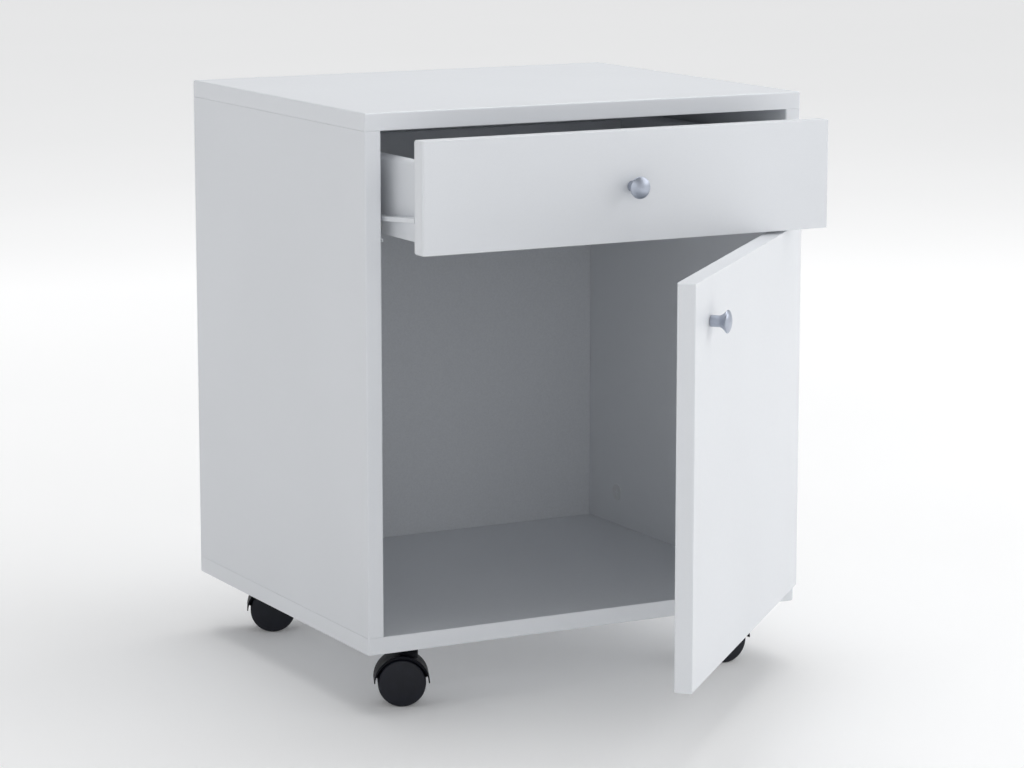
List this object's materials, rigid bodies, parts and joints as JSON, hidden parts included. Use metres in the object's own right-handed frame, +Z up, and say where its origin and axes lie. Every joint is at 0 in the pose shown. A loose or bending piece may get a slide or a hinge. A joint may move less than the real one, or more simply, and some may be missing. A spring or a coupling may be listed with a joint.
{
  "type": "rolling pedestal cabinet",
  "caption": "White rolling pedestal cabinet: a drawer on roller runners over a right-hinged inset door, round knobs, hooded twin-wheel swivel casters.",
  "frame": {"origin": "on the floor, in the middle of the space taken with the drawer and door ajar as stored; the carcass's own middle is 155 mm further back", "axes": "+X to the cabinet's right as seen from the front, +Y to its back, +Z up"},
  "size_m": [0.45, 0.689, 0.544],
  "materials": {
    "white_board": "white melamine-faced board, satin",
    "hardboard": "white-faced hardboard, matt",
    "white_steel": "white powder coat",
    "hinge_steel": "nickel-plated, satin",
    "knob_metal": "satin silver, faintly blue",
    "pin_steel": "bright zinc-plated",
    "black_plastic": "black nylon, satin",
    "roller_plastic": "white acetal"
  },
  "bodies": {
    "carcass": {"top_panel": "white_board", "bottom_panel": "white_board", "side_panel_left": "white_board", "side_panel_right": "white_board", "back_panel": "hardboard", "cabinet_rail_left": "white_steel", "cabinet_rail_right": "white_steel", "hinge_plate_upper": "hinge_steel", "hinge_arm_upper": "hinge_steel", "arm_pin_upper": "pin_steel", "hinge_plate_lower": "hinge_steel", "hinge_arm_lower": "hinge_steel", "arm_pin_lower": "pin_steel", "caster_plate_front_left": "black_plastic", "caster_plate_front_right": "black_plastic", "caster_plate_rear_left": "black_plastic", "caster_plate_rear_right": "black_plastic"},
    "drawer": {"drawer_front": "white_board", "drawer_side_left": "white_board", "drawer_side_right": "white_board", "drawer_back": "white_board", "drawer_bottom": "hardboard", "drawer_rail_left": "white_steel", "drawer_rail_right": "white_steel", "drawer_knob": "knob_metal", "drawer_knob_screw": "pin_steel"},
    "door": {"door_panel": "white_board", "door_knob": "knob_metal", "door_knob_screw": "pin_steel", "hinge_cup_upper": "hinge_steel", "cup_pin_upper": "pin_steel", "hinge_cup_lower": "hinge_steel", "cup_pin_lower": "pin_steel"},
    "cabinet_roller_left": {"cabinet_roller_left": "roller_plastic"},
    "drawer_roller_left": {"drawer_roller_left": "roller_plastic"},
    "cabinet_roller_right": {"cabinet_roller_right": "roller_plastic"},
    "drawer_roller_right": {"drawer_roller_right": "roller_plastic"},
    "arm_link_upper": {"arm_link_upper": "hinge_steel", "knee_pin_upper": "pin_steel"},
    "cup_link_upper": {"cup_link_upper": "hinge_steel"},
    "arm_link_lower": {"arm_link_lower": "hinge_steel", "knee_pin_lower": "pin_steel"},
    "cup_link_lower": {"cup_link_lower": "hinge_steel"},
    "caster_swivel_front_left": {"caster_hood_front_left": "black_plastic", "caster_axle_front_left": "pin_steel"},
    "caster_wheel_front_left_a": {"caster_wheel_front_left_a": "black_plastic"},
    "caster_wheel_front_left_b": {"caster_wheel_front_left_b": "black_plastic"},
    "caster_swivel_front_right": {"caster_hood_front_right": "black_plastic", "caster_axle_front_right": "pin_steel"},
    "caster_wheel_front_right_a": {"caster_wheel_front_right_a": "black_plastic"},
    "caster_wheel_front_right_b": {"caster_wheel_front_right_b": "black_plastic"},
    "caster_swivel_rear_left": {"caster_hood_rear_left": "black_plastic", "caster_axle_rear_left": "pin_steel"},
    "caster_wheel_rear_left_a": {"caster_wheel_rear_left_a": "black_plastic"},
    "caster_wheel_rear_left_b": {"caster_wheel_rear_left_b": "black_plastic"},
    "caster_swivel_rear_right": {"caster_hood_rear_right": "black_plastic", "caster_axle_rear_right": "pin_steel"},
    "caster_wheel_rear_right_a": {"caster_wheel_rear_right_a": "black_plastic"},
    "caster_wheel_rear_right_b": {"caster_wheel_rear_right_b": "black_plastic"}
  },
  "joints": [
    {"name": "drawer_slide", "type": "slide", "parent": "carcass", "child": "drawer", "axis": [0, -1, 0], "range_m": [-0.076, 0.174]},
    {"name": "cabinet_roller_left_turn", "type": "hinge", "parent": "carcass", "child": "cabinet_roller_left", "pos_m": [-0.201, -0.006, 0.443], "axis": [1, 0, 0], "range_deg": [-582, 1331]},
    {"name": "drawer_roller_left_turn", "type": "hinge", "parent": "drawer", "child": "drawer_roller_left", "pos_m": [-0.2008, 0.229, 0.4384], "axis": [1, 0, 0], "range_deg": [-582, 1331]},
    {"name": "cabinet_roller_right_turn", "type": "hinge", "parent": "carcass", "child": "cabinet_roller_right", "pos_m": [0.201, -0.006, 0.443], "axis": [1, 0, 0], "range_deg": [-582, 1331]},
    {"name": "drawer_roller_right_turn", "type": "hinge", "parent": "drawer", "child": "drawer_roller_right", "pos_m": [0.2008, 0.229, 0.4384], "axis": [1, 0, 0], "range_deg": [-582, 1331]},
    {"name": "door_swing", "type": "hinge", "parent": "cup_link_upper", "child": "door", "pos_m": [0.2032, -0.04981, 0.35], "axis": [0, 0, 1], "range_deg": [-45, 47]},
    {"name": "arm_link_upper_turn", "type": "hinge", "parent": "carcass", "child": "arm_link_upper", "pos_m": [0.193, -0.012, 0.35], "axis": [0, 0, 1], "range_deg": [-56.25, 58.75]},
    {"name": "cup_link_upper_turn", "type": "hinge", "parent": "arm_link_upper", "child": "cup_link_upper", "pos_m": [0.1727, -0.03211, 0.35], "axis": [0, 0, 1], "range_deg": [-58.75, 56.25]},
    {"name": "arm_link_lower_turn", "type": "hinge", "parent": "carcass", "child": "arm_link_lower", "pos_m": [0.193, -0.012, 0.15], "axis": [0, 0, 1], "range_deg": [-56.25, 58.75]},
    {"name": "cup_link_lower_turn", "type": "hinge", "parent": "arm_link_lower", "child": "cup_link_lower", "pos_m": [0.1727, -0.03211, 0.15], "axis": [0, 0, 1], "range_deg": [-58.75, 56.25]},
    {"name": "caster_front_left_swivel", "type": "hinge", "parent": "carcass", "child": "caster_swivel_front_left", "pos_m": [-0.169, -0.002, 0.05], "axis": [0, 0, 1], "continuous": true},
    {"name": "caster_wheel_front_left_a_spin", "type": "hinge", "parent": "caster_swivel_front_left", "child": "caster_wheel_front_left_a", "pos_m": [-0.17456, 0.00051, 0.022], "axis": [-0.4115, -0.9114, 0], "continuous": true},
    {"name": "caster_wheel_front_left_b_spin", "type": "hinge", "parent": "caster_swivel_front_left", "child": "caster_wheel_front_left_b", "pos_m": [-0.17456, 0.00051, 0.022], "axis": [-0.4115, -0.9114, 0], "continuous": true},
    {"name": "caster_front_right_swivel", "type": "hinge", "parent": "carcass", "child": "caster_swivel_front_right", "pos_m": [0.169, -0.002, 0.05], "axis": [0, 0, 1], "continuous": true},
    {"name": "caster_wheel_front_right_a_spin", "type": "hinge", "parent": "caster_swivel_front_right", "child": "caster_wheel_front_right_a", "pos_m": [0.1629, -0.00221, 0.022], "axis": [0.0349, -0.9994, 0], "continuous": true},
    {"name": "caster_wheel_front_right_b_spin", "type": "hinge", "parent": "caster_swivel_front_right", "child": "caster_wheel_front_right_b", "pos_m": [0.1629, -0.00221, 0.022], "axis": [0.0349, -0.9994, 0], "continuous": true},
    {"name": "caster_rear_left_swivel", "type": "hinge", "parent": "carcass", "child": "caster_swivel_rear_left", "pos_m": [-0.169, 0.312, 0.05], "axis": [0, 0, 1], "continuous": true},
    {"name": "caster_wheel_rear_left_a_spin", "type": "hinge", "parent": "caster_swivel_rear_left", "child": "caster_wheel_rear_left_a", "pos_m": [-0.16343, 0.30952, 0.022], "axis": [0.4067, 0.9135, 0], "continuous": true},
    {"name": "caster_wheel_rear_left_b_spin", "type": "hinge", "parent": "caster_swivel_rear_left", "child": "caster_wheel_rear_left_b", "pos_m": [-0.16343, 0.30952, 0.022], "axis": [0.4067, 0.9135, 0], "continuous": true},
    {"name": "caster_rear_right_swivel", "type": "hinge", "parent": "carcass", "child": "caster_swivel_rear_right", "pos_m": [0.169, 0.312, 0.05], "axis": [0, 0, 1], "continuous": true},
    {"name": "caster_wheel_rear_right_a_spin", "type": "hinge", "parent": "caster_swivel_rear_right", "child": "caster_wheel_rear_right_a", "pos_m": [0.17167, 0.31748, 0.022], "axis": [-0.8988, 0.4384, 0], "continuous": true},
    {"name": "caster_wheel_rear_right_b_spin", "type": "hinge", "parent": "caster_swivel_rear_right", "child": "caster_wheel_rear_right_b", "pos_m": [0.17167, 0.31748, 0.022], "axis": [-0.8988, 0.4384, 0], "continuous": true}
  ],
  "couplings": [
    {"joint": "cabinet_roller_left_turn", "follows": "drawer_slide", "rad_per_m": 133.33},
    {"joint": "drawer_roller_left_turn", "follows": "drawer_slide", "rad_per_m": 133.33},
    {"joint": "cabinet_roller_right_turn", "follows": "drawer_slide", "rad_per_m": 133.33},
    {"joint": "drawer_roller_right_turn", "follows": "drawer_slide", "rad_per_m": 133.33},
    {"joint": "arm_link_upper_turn", "follows": "door_swing", "ratio": 1.25},
    {"joint": "cup_link_upper_turn", "follows": "door_swing", "ratio": -1.25},
    {"joint": "arm_link_lower_turn", "follows": "door_swing", "ratio": 1.25},
    {"joint": "cup_link_lower_turn", "follows": "door_swing", "ratio": -1.25}
  ]
}
